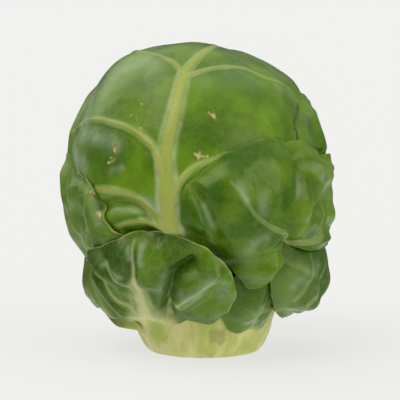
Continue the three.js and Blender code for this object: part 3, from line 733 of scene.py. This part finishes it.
def ring_mesh(name, rows, first, last, attributes):
    """Closed mesh of rows of points, each row a closed ring, with a fan to one point at both ends."""
    row_count, count = rows.shape[:2]
    points = np.concatenate((first[None], rows.reshape(-1, 3), last[None])) * MM
    ring = np.arange(count)
    after = (ring + 1) % count
    starts = 1 + count * np.arange(row_count - 1)[:, None]
    below = starts + count
    quads = np.stack((starts + ring, starts + after, below + after, below + ring), -1).reshape(-1, 4)
    end = 1 + count * (row_count - 1)
    first_fan = np.stack((np.zeros(count, int), 1 + after, 1 + ring), -1)
    last_fan = np.stack((np.full(count, len(points) - 1), end + ring, end + after), -1)
    loops = np.concatenate((first_fan.ravel(), last_fan.ravel(), quads.ravel()))
    sizes = np.concatenate((np.full(2 * count, 3), np.full(len(quads), 4)))
    mesh = bpy.data.meshes.new(name)
    mesh.vertices.add(len(points))
    mesh.vertices.foreach_set("co", points.astype(np.float32).ravel())
    mesh.loops.add(len(loops))
    mesh.loops.foreach_set("vertex_index", loops.astype(np.int32))
    mesh.polygons.add(len(sizes))
    mesh.polygons.foreach_set("loop_start", (np.cumsum(sizes) - sizes).astype(np.int32))
    mesh.polygons.foreach_set("use_smooth", np.ones(len(sizes), bool))
    mesh.update(calc_edges=True)
    for label, values in attributes.items():
        layer = mesh.attributes.new(label, "FLOAT", "POINT")
        layer.data.foreach_set("value", values.astype(np.float32))
    mesh.validate()
    return mesh


def add_piece(name, mesh, material, node):
    """Object at the origin that rides on the sprout and stands for its solid."""
    mesh.materials.append(material)
    piece = bpy.data.objects.new(name, mesh)
    bpy.context.collection.objects.link(piece)
    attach(piece, "root")
    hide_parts(node)
    return piece


def leaf_mesh(leaf, settings):
    """Leaf blade: rings from the middle out over the outer face, round the margin and back inside."""
    outer = np.linspace(0, 1, settings.rings + 1)[1:]
    inner = np.linspace(1, 0, settings.inner_rings + 1)[:-1]
    shares = np.concatenate((outer, (1.0,), inner))
    depth = np.concatenate((np.zeros(settings.rings), (0.5,), np.ones(settings.inner_rings)))
    bearing = np.linspace(-180, 180, settings.sectors, endpoint=False)
    share, turn = np.meshgrid(shares, bearing, indexing="ij")
    rim = RIM_BULGE * MARGIN_BLADE / (ARC * through(turn, leaf.reaches))
    share = share + np.where(depth[:, None] == 0.5, rim, 0)
    phase = np.radians(turn)
    wobble = sum(size * np.sin(count * phase + shift * leaf.index) for count, size, shift in MARGIN_WAVES)
    share = share * (1 + wobble * share ** 8)
    d = leaf.directions(share, turn)
    relief, vein, halo, foot = leaf.marks(d)
    q = leaf.flat(d)
    small = SMALL_SHARE * ripple(q, SMALL_PUCKER, leaf.index + 40)
    swell = leaf.pucker * (ripple(q, LARGE_PUCKER, leaf.index) + small)
    top = stack_under(leaf.index, d) + leaf.layer(d) + relief + swell
    on_stem = FOOT_RISE + FOOT_RELIEF * relief - FOOT_SINK * leaf.rim(d)
    top = top + leaf.settle * foot ** 2 * (on_stem - top)
    blade = MARGIN_BLADE + (BODY_BLADE - MARGIN_BLADE) * (1 - leaf.rim(d))
    points = on_bulb(d, top - depth[:, None] * blade)
    points[..., 2] = np.maximum(points[..., 2], FLOOR_CLEARANCE)
    middle = leaf.axis[None]
    height = stack_under(leaf.index, middle) + leaf.layer(middle)
    first = on_bulb(middle, height + leaf.marks(middle)[0])[0]
    last = on_bulb(middle, height - BODY_BLADE)[0]
    spread = {
        "vein": vein, "halo": halo, "foot": foot,
        # Strokes of wax bloom with painted sheen, and of painted shade in gaps and hollows
        "bloom": leaf.strokes(q, leaf.bloom_and_sheen_strokes), "crack": leaf.strokes(q, leaf.painted_shade_strokes),
        "scar": leaf.strokes(q, leaf.scars),
        "edge": smoothstep(EDGE_START, 1.0, share),
        # Painted sheen: the green goes from dark to light across one side of some leaves
        "tone": smoothstep(*leaf.side_sheen_bounds, q[..., 0]),
    }
    attributes = {
        label: np.concatenate(((values[0, 0],), values.ravel(), (values[-1, 0],)))
        for label, values in spread.items()
    }
    return ring_mesh(leaf.name, points, first, last, attributes)


def stem_mesh(settings):
    """Stub of the stem: its profile turned about the leaning axis, with flutes up the wall and a scar."""
    radius, height = smooth_path(np.array(STEM_PROFILE), 8).T
    turn = np.radians(np.linspace(0, -360, settings.stem_turns, endpoint=False))
    up, around = np.meshgrid(height[::-1], turn, indexing="ij")
    circle = FLUTE_RADIUS * np.stack((np.cos(around), np.sin(around)), -1)
    slanted = np.stack((circle[..., 0], up), -1)
    (broad, broad_length), (fine, fine_length) = BROAD_FLUTES, FINE_FLUTES
    flutes = broad * ripple(circle, broad_length, 3) + fine * ripple(slanted, fine_length, 4)
    wide = radius[::-1, None] + smoothstep(0.0, 1.2, up) * flutes
    aside = wide * np.sin(around) + through(up, LEAN)
    points = np.stack((aside, -wide * np.cos(around), np.maximum(up, 0)), -1)
    top = np.array((through(np.array(STEM_TOP), LEAN), 0, STEM_TOP))
    scar = stem_scar(wide, around, up)
    attributes = {"scar": np.concatenate(((0.0,), scar.ravel(), (0.0,)))}
    return ring_mesh("stem", points, top, np.zeros(3), attributes)


def stem_scar(wide, around, up):
    """1 in the scar on the stem: a square with rounded corners and an uneven border, fading to 0 past it."""
    azimuth, rise, half_wide, half_tall = STEM_SCAR
    turned = np.mod(around - np.radians(azimuth) + np.pi, 2 * np.pi) - np.pi
    across = wide * turned / half_wide
    q = np.stack((SCAR_RADIUS * around, up), -1)
    patch = (across ** 4 + ((up - rise) / half_tall) ** 4) ** 0.25 + 0.3 * ripple(q, 1.6, 8)
    return 1 - smoothstep(0.75, 1.15, patch)


def heart_mesh(settings):
    """Heart: the bare bulb, with the margins of the inner leaves raised in overlapping steps."""
    latitude = np.linspace(*HEART_ROWS, settings.heart_rings)
    azimuth = np.linspace(0, -360, settings.heart_turns, endpoint=False)
    lat, az = np.meshgrid(latitude, azimuth, indexing="ij")
    d = direction(az, lat)
    points = on_bulb(d, heart_height(d))
    points[..., 2] = np.maximum(points[..., 2], HEART_FLOOR)
    pole = direction(0, 90)[None]
    first = on_bulb(pole, heart_height(pole))[0]
    last = np.array((float(through(np.array(HEART_FLOOR), LEAN)), 0, HEART_FLOOR))
    return ring_mesh("heart", points, first, last, {})


def heart_height(d):
    """Sum of five leaf steps, each a cap about its own direction, turned by two fifths of a circle."""
    leaves = 5
    step = 0.18
    spread = 58
    height = np.full(d.shape[:-1], -leaves * step)
    for k in range(leaves):
        middle = direction(144 * k + 20, 38 - 6 * k)
        angle = np.degrees(np.arccos(np.clip(d @ middle, -1, 1)))
        height += step * (1 - smoothstep(spread - 3, spread + 3, angle))
    return height


# Materials

class Nodes:
    """Short calls for building one material's nodes."""

    def __init__(self, name):
        self.material = bpy.data.materials.new(name)
        self.material.use_nodes = True
        self.tree = self.material.node_tree
        self.shader = self.tree.nodes["Principled BSDF"]

    def add(self, kind, **settings):
        """A node of a kind, with its sockets and settings by name."""
        node = self.tree.nodes.new(kind)
        for key, value in settings.items():
            if key in node.inputs:
                node.inputs[key].default_value = value
            else:
                setattr(node, key, value)
        return node

    def link(self, output, socket):
        """Joins an output to a socket."""
        self.tree.links.new(output, socket)

    def object_coordinates(self):
        """Place on the piece."""
        return self.add("ShaderNodeTexCoord").outputs["Object"]

    def attribute(self, name):
        """Value that the mesh holds at each point."""
        return self.add("ShaderNodeAttribute", attribute_name=name).outputs["Fac"]

    def noise(self, scale, detail=4.0, roughness=0.55, vector=None):
        """Soft random pattern from 0 to 1."""
        node = self.add("ShaderNodeTexNoise", Scale=scale, Detail=detail, Roughness=roughness)
        self.link(vector or self.object_coordinates(), node.inputs["Vector"])
        return node.outputs["Fac"]

    def ranged(self, value, low, high, to_low=0.0, to_high=1.0):
        """A value eased from one range to another."""
        node = self.add("ShaderNodeMapRange", interpolation_type="SMOOTHSTEP")
        for key, number in zip(("From Min", "From Max", "To Min", "To Max"), (low, high, to_low, to_high)):
            node.inputs[key].default_value = number
        self.link(value, node.inputs["Value"])
        return node.outputs["Result"]

    def mix(self, factor, first, second):
        """Colour between two, by a factor."""
        node = self.add("ShaderNodeMix", data_type="RGBA")
        for value, socket in ((first, node.inputs["A"]), (second, node.inputs["B"])):
            self.colour(value, socket)
        self.link(factor, node.inputs["Factor"])
        return node.outputs["Result"]

    def colour(self, value, socket):
        """Gives a socket a colour, from an output or as it is."""
        if isinstance(value, bpy.types.NodeSocket):
            self.link(value, socket)
        else:
            socket.default_value = (*value[:3], 1.0)

    def math(self, operation, first, second):
        """Result of a calculation with two outputs or numbers."""
        node = self.add("ShaderNodeMath", operation=operation)
        for value, socket in ((first, node.inputs[0]), (second, node.inputs[1])):
            if isinstance(value, bpy.types.NodeSocket):
                self.link(value, socket)
            else:
                socket.default_value = value
        return node.outputs["Value"]

    def bump(self, height, distance, strength):
        """Fine relief on the shader from a height."""
        node = self.add("ShaderNodeBump", Distance=distance, Strength=strength)
        self.link(height, node.inputs["Height"])
        self.link(node.outputs["Normal"], self.shader.inputs["Normal"])

    def finish(self, colour, **sockets):
        """Gives the shader its base colour and its constant sockets, named with underscores for spaces."""
        self.link(colour, self.shader.inputs["Base Color"])
        for name, value in sockets.items():
            self.shader.inputs[name.replace("_", " ")].default_value = value
        return self.material


def stem_tone(n, where, settings):
    """Cream green with streaks that run up the stem, and greener patches."""
    stretch = n.add("ShaderNodeMapping")
    stretch.inputs["Scale"].default_value = (1.0, 1.0, 0.25)
    n.link(where, stretch.inputs["Vector"])
    streaks = n.ranged(n.noise(420, 4, 0.6, stretch.outputs["Vector"]), 0.40, 0.66)
    cream = n.mix(streaks, settings.stem_cream, settings.stem_green)
    patches = n.ranged(n.noise(260, 3, 0.5, where), 0.48, 0.70, 0.0, 0.8)
    return n.mix(patches, cream, settings.stem_patch)


def leaf_material(look, settings):
    """Waxy leaf: mottled greens, wax bloom and painted sheen, pale veins and foot, light margin, painted
    shade, dry scars.
    """
    dark, light, vein, foot = LOOKS[look]
    n = Nodes(f"leaf_{look}")
    where = n.object_coordinates()
    patches = n.ranged(n.noise(170, 3, 0.5, where), 0.35, 0.68)
    # Painted sheen: the tone attribute brightens one side of some leaves
    tone = n.math("SUBTRACT", n.attribute("tone"), 0.5)
    green = n.mix(n.math("ADD", patches, tone), dark, light)
    flecks = n.ranged(n.noise(900, 2, 0.6, where), 0.55, 0.75, 0.0, 0.22)
    green = n.mix(flecks, green, light)
    bent = n.add("ShaderNodeVectorMath", operation="MULTIPLY_ADD")
    bent.inputs[1].default_value = (0.0012, 0.0012, 0.0012)
    curl = n.add("ShaderNodeTexNoise", Scale=700.0, Detail=2.0)
    n.link(where, curl.inputs["Vector"])
    n.link(curl.outputs["Color"], bent.inputs[0])
    n.link(where, bent.inputs[2])
    net = n.add("ShaderNodeTexVoronoi", feature="DISTANCE_TO_EDGE", Scale=800.0)
    n.link(bent.outputs["Vector"], net.inputs["Vector"])
    threads = n.ranged(net.outputs["Distance"], 0.0, 0.16, 1.0, 0.0)
    green = n.mix(n.math("MULTIPLY", threads, 0.05), green, vein)
    streaky = n.ranged(n.noise(520, 3, 0.6, where), 0.3, 0.7, 0.45, 1.0)
    # Wax bloom, partly real and partly painted highlights and sheen
    green = n.mix(n.math("MULTIPLY", n.attribute("bloom"), streaky), green, BLOOM_AND_SHEEN)
    halo = n.math("MULTIPLY", n.ranged(n.attribute("halo"), 0.0, 0.9, 0.0, 0.85), streaky)
    green = n.mix(halo, green, HALO)
    green = n.mix(n.ranged(n.attribute("vein"), 0.05, 0.85, 0.0, 0.9), green, vein)
    pale = n.attribute("foot")
    green = n.mix(n.ranged(pale, 0.0, 1.0, 0.0, 0.92), green, foot)
    green = n.mix(n.ranged(pale, 0.45, 0.9), green, stem_tone(n, where, settings))
    green = n.mix(n.math("MULTIPLY", n.attribute("edge"), 0.3), green, vein)
    # Painted shade in gaps between leaves and in hollows
    green = n.mix(n.math("MULTIPLY", n.attribute("crack"), 0.9), green, PAINTED_SHADE_GREEN)
    dry = n.mix(n.ranged(n.noise(1500, 2, 0.5, where), 0.4, 0.6), *SCAR_TONES)
    green = n.mix(n.ranged(n.attribute("scar"), 0.3, 0.9, 0.0, 0.85), green, dry)
    rough = n.ranged(n.noise(420, 3, 0.5, where), 0.3, 0.7, 0.26, 0.38)
    n.link(rough, n.shader.inputs["Roughness"])
    grain = n.math("MULTIPLY", n.noise(1300, 4, 0.6, where), 0.5)
    crinkle = n.math("MULTIPLY", n.noise(420, 3, 0.5, where), 3.0)
    fine = n.math("ADD", grain, n.math("MULTIPLY", threads, 0.3))
    n.bump(n.math("ADD", fine, crinkle), 0.00005, 0.7)
    sheen = dict(Specular_IOR_Level=0.32, Specular_Tint=(1.0, 1.0, 0.5, 1.0))
    return n.finish(green, **sheen, Coat_Weight=0.2, Coat_Roughness=0.3)


def stem_material(settings):
    """Cut stem: the cream green of the stem, with the scar of a trimmed leaf."""
    n = Nodes("cut_stem")
    where = n.object_coordinates()
    cream = stem_tone(n, where, settings)
    cream = n.mix(n.math("MULTIPLY", n.attribute("scar"), 0.6), cream, settings.stem_scar)
    n.bump(n.noise(1100, 4, 0.6, where), 0.0001, 0.6)
    return n.finish(cream, Roughness=0.5)


def heart_material(settings):
    """Inner leaves: pale yellow green, softly mottled, painted paler still to lift the shade of the deep gaps
    where they show.
    """
    n = Nodes("inner_leaf")
    fac = n.ranged(n.noise(200, 3), 0.35, 0.68)
    n.bump(n.noise(900, 3), 0.0001, 0.5)
    return n.finish(n.mix(fac, settings.heart_dark, settings.heart_light), Roughness=0.42)


def floor_material(settings):
    """Pale seamless paper with a barely uneven tone."""
    n = Nodes("pale_floor")
    tone = settings.floor_tone
    paper = n.mix(n.noise(6, 2), [t * 0.995 for t in tone], tone)
    glow = dict(Emission_Color=(1.0, 1.0, 1.0, 1.0), Emission_Strength=settings.floor_glow)
    return n.finish(paper, Roughness=0.9, Specular_IOR_Level=0.1, **glow)


# Settings, operators and panel

def colour_setting(name, description, default):
    """Colour setting with a linear default."""
    return bpy.props.FloatVectorProperty(
        name=name, description=description, default=default, subtype="COLOR", size=3, min=0, max=1)


def count_setting(name, description, default):
    """Whole number of rows or columns."""
    return bpy.props.IntProperty(name=name, description=description, default=default, min=3)


def number_setting(name, description, default, **kind):
    """Number with the unit or subtype of its kind."""
    return bpy.props.FloatProperty(name=name, description=description, default=default, **kind)


class SproutShape(bpy.types.PropertyGroup):
    """Fineness of the sprout's surfaces"""
    rings: count_setting("Leaf rings", "Rows from a leaf's middle to its margin", 110)
    inner_rings: count_setting("Inner rings", "Rows on a leaf's hidden face", 24)
    sectors: count_setting("Leaf sectors", "Columns around a leaf", 400)
    heart_rings: count_setting("Heart rings", "Rows down the heart", 90)
    heart_turns: count_setting("Heart turns", "Columns around the heart", 180)
    stem_turns: count_setting("Stem turns", "Columns around the stem", 240)


class SproutColours(bpy.types.PropertyGroup):
    """Colours of the stem and the heart"""
    stem_cream: colour_setting("Stem cream", "Main tone of the cut stem", shade(214, 210, 140))
    stem_green: colour_setting("Stem green", "Streaks on the cut stem", shade(182, 190, 96))
    stem_patch: colour_setting("Stem patch", "Greener patches on the cut stem", shade(166, 182, 78))
    stem_scar: colour_setting("Stem scar", "Scar of a trimmed leaf on the stem", shade(146, 142, 74))
    # Heart tones are painted paler than the inner leaves' own green, to lift the shade in the deep gaps where
    # they show
    heart_dark: colour_setting("Heart dark", "Deeper tone of the inner leaves", shade(92, 122, 40))
    heart_light: colour_setting("Heart light", "Lighter tone of the inner leaves", shade(124, 148, 62))


class SproutStage(bpy.types.PropertyGroup):
    """Floor, lights and camera"""
    floor_tone: colour_setting("Floor tone", "Tone of the studio floor", (0.21, 0.21, 0.21))
    floor_glow: number_setting("Floor glow", "Light of the floor from below", 0.642)
    floor_size: number_setting("Floor size", "Width of the floor", 6.0, unit="LENGTH")
    dome: number_setting("Dome", "Strength of the overhead studio light", 1.0)
    key: number_setting("Key", "Strength of the front light", 0.95)
    fill: number_setting("Fill", "Strength of the right front light", 0.95)
    gloss: number_setting("Gloss", "Strength of the back left light", 0.50)
    elevation: number_setting("Elevation", "Camera height angle", float(np.radians(8)), subtype="ANGLE")
    distance: number_setting("Distance", "Camera distance", 0.5, unit="LENGTH")
    frame_width: number_setting("Frame width", "Width seen at the sprout", 0.0512, unit="LENGTH")


class SPROUT_OT_stem(bpy.types.Operator):
    """Model the cut stem stub"""
    bl_idname = "sprout.stem"
    bl_label = "Stem"

    def execute(self, context):
        mesh = stem_mesh(context.scene.sprout_shape)
        add_piece("stem_stub", mesh, stem_material(context.scene.sprout_colours), "stem")
        return {"FINISHED"}


class SPROUT_OT_heart(bpy.types.Operator):
    """Model the tight heart of inner leaves"""
    bl_idname = "sprout.heart"
    bl_label = "Heart"

    def execute(self, context):
        mesh = heart_mesh(context.scene.sprout_shape)
        add_piece("heart_leaves", mesh, heart_material(context.scene.sprout_colours), "heart")
        return {"FINISHED"}


def add_leaves(context, low):
    """Model the low leaves or the others, each with the material of its look."""
    for leaf in HEAD:
        if ("low" in leaf.name) == low:
            name = f"leaf_{leaf.look}"
            material = bpy.data.materials.get(name) or leaf_material(leaf.look, context.scene.sprout_colours)
            mesh = leaf_mesh(leaf, context.scene.sprout_shape)
            add_piece(f"{leaf.name}_blade", mesh, material, leaf.name)


class SPROUT_OT_wrapper_leaves(bpy.types.Operator):
    """Model the large leaves that wrap the head"""
    bl_idname = "sprout.wrapper_leaves"
    bl_label = "Wrapper leaves"

    def execute(self, context):
        add_leaves(context, False)
        return {"FINISHED"}


class SPROUT_OT_low_leaves(bpy.types.Operator):
    """Model the small leaves around the foot of the head"""
    bl_idname = "sprout.low_leaves"
    bl_label = "Low leaves"

    def execute(self, context):
        add_leaves(context, True)
        return {"FINISHED"}


class SPROUT_OT_stage(bpy.types.Operator):
    """Lay the floor, hang the lights and set the camera"""
    bl_idname = "sprout.stage"
    bl_label = "Stage"

    def execute(self, context):
        stage = context.scene.sprout_stage
        lay_floor(stage)
        hang_lights(context.scene, stage)
        set_camera(context.scene, stage)
        return {"FINISHED"}


def lay_floor(stage):
    """Square floor under the stem, which the leaves don't mirror."""
    half = stage.floor_size / 2
    mesh = bpy.data.meshes.new("floor")
    corners = [(-half, -half, 0), (half, -half, 0), (half, half, 0), (-half, half, 0)]
    mesh.from_pydata(corners, [], [(0, 1, 2, 3)])
    mesh.materials.append(floor_material(stage))
    floor = bpy.data.objects.new("floor", mesh)
    bpy.context.collection.objects.link(floor)
    floor.visible_glossy = False


def aim(thing, target):
    """Turns a lamp or camera to face a point."""
    thing.rotation_euler = (Vector(target) - thing.location).to_track_quat("-Z", "Y").to_euler()


def soft_sun(name, toward, angle, strength):
    """Broad even light that comes from a direction."""
    light = bpy.data.lights.new(name, "SUN")
    light.energy, light.angle, light.color = strength, angle, SUN_COLOUR
    lamp = bpy.data.objects.new(name, light)
    lamp.location = Vector(toward)
    bpy.context.collection.objects.link(lamp)
    aim(lamp, (0, 0, 0))


def hang_lights(scene, stage):
    """Dome in the studio's tones, key from the upper left, fill from the right and gloss from behind."""
    world = bpy.data.worlds.new("studio")
    world.use_nodes = True
    tree = world.node_tree
    background = tree.nodes["Background"]
    background.inputs["Strength"].default_value = stage.dome
    split = tree.nodes.new("ShaderNodeSeparateXYZ")
    height = tree.nodes.new("ShaderNodeMapRange")
    height.inputs["From Min"].default_value = -1.0
    ramp = tree.nodes.new("ShaderNodeValToRGB")
    ramp.color_ramp.interpolation = "EASE"
    for place, _ in DOME_TONES[1:-1]:
        ramp.color_ramp.elements.new(place)
    for stop, (place, tone) in zip(ramp.color_ramp.elements, DOME_TONES):
        stop.position = place
        stop.color = (tone, tone, tone, 1.0)
    tree.links.new(tree.nodes.new("ShaderNodeTexCoord").outputs["Generated"], split.inputs["Vector"])
    tree.links.new(split.outputs["Z"], height.inputs["Value"])
    tree.links.new(height.outputs["Result"], ramp.inputs["Fac"])
    tree.links.new(ramp.outputs["Color"], background.inputs["Color"])
    scene.world = world
    for name, (toward, breadth) in LAMPS.items():
        soft_sun(f"{name}_light", toward, np.radians(breadth), getattr(stage, name))
    scene.view_settings.view_transform = "Standard"


def set_camera(scene, stage):
    """Long lens at the photograph's height, with the stem low in the frame."""
    up = Vector((0, np.sin(stage.elevation), np.cos(stage.elevation)))
    target = Vector((LOOK_ASIDE * MM, 0, 0)) + up * LOOK_RISE * MM
    camera = bpy.data.cameras.new("camera")
    camera.lens = camera.sensor_width * stage.distance / stage.frame_width
    camera.clip_start = 0.01
    view = bpy.data.objects.new("camera", camera)
    view.location = target + stage.distance * Vector((0, -np.cos(stage.elevation), np.sin(stage.elevation)))
    bpy.context.collection.objects.link(view)
    aim(view, target)
    scene.camera = view


OPERATORS = (
    SPROUT_OT_stem, SPROUT_OT_heart, SPROUT_OT_wrapper_leaves, SPROUT_OT_low_leaves, SPROUT_OT_stage,
)


class SPROUT_PT_panel(bpy.types.Panel):
    """Lists the sprout's pieces in the order that they are made"""
    bl_label = "Brussels Sprout"
    bl_idname = "SPROUT_PT_panel"
    bl_space_type = "VIEW_3D"
    bl_region_type = "UI"
    bl_category = "Sprout"

    def draw(self, context):
        for operator in OPERATORS:
            self.layout.operator(operator.bl_idname)
        for group in (context.scene.sprout_shape, context.scene.sprout_colours, context.scene.sprout_stage):
            for key in group.__annotations__:
                self.layout.prop(group, key)


GROUPS = {"sprout_shape": SproutShape, "sprout_colours": SproutColours, "sprout_stage": SproutStage}
CLASSES = (*GROUPS.values(), *OPERATORS, SPROUT_PT_panel)


def register():
    """Adds the classes and the settings."""
    for cls in CLASSES:
        bpy.utils.register_class(cls)
    for name, group in GROUPS.items():
        setattr(bpy.types.Scene, name, bpy.props.PointerProperty(type=group))


def unregister():
    """Takes the settings and the classes away."""
    for name in GROUPS:
        delattr(bpy.types.Scene, name)
    for cls in reversed(CLASSES):
        bpy.utils.unregister_class(cls)


def main():
    """Makes every piece and the stage."""
    register()
    bpy.ops.sprout.stem()
    bpy.ops.sprout.heart()
    bpy.ops.sprout.wrapper_leaves()
    bpy.ops.sprout.low_leaves()
    bpy.ops.sprout.stage()


if __name__ == "__main__":
    main()
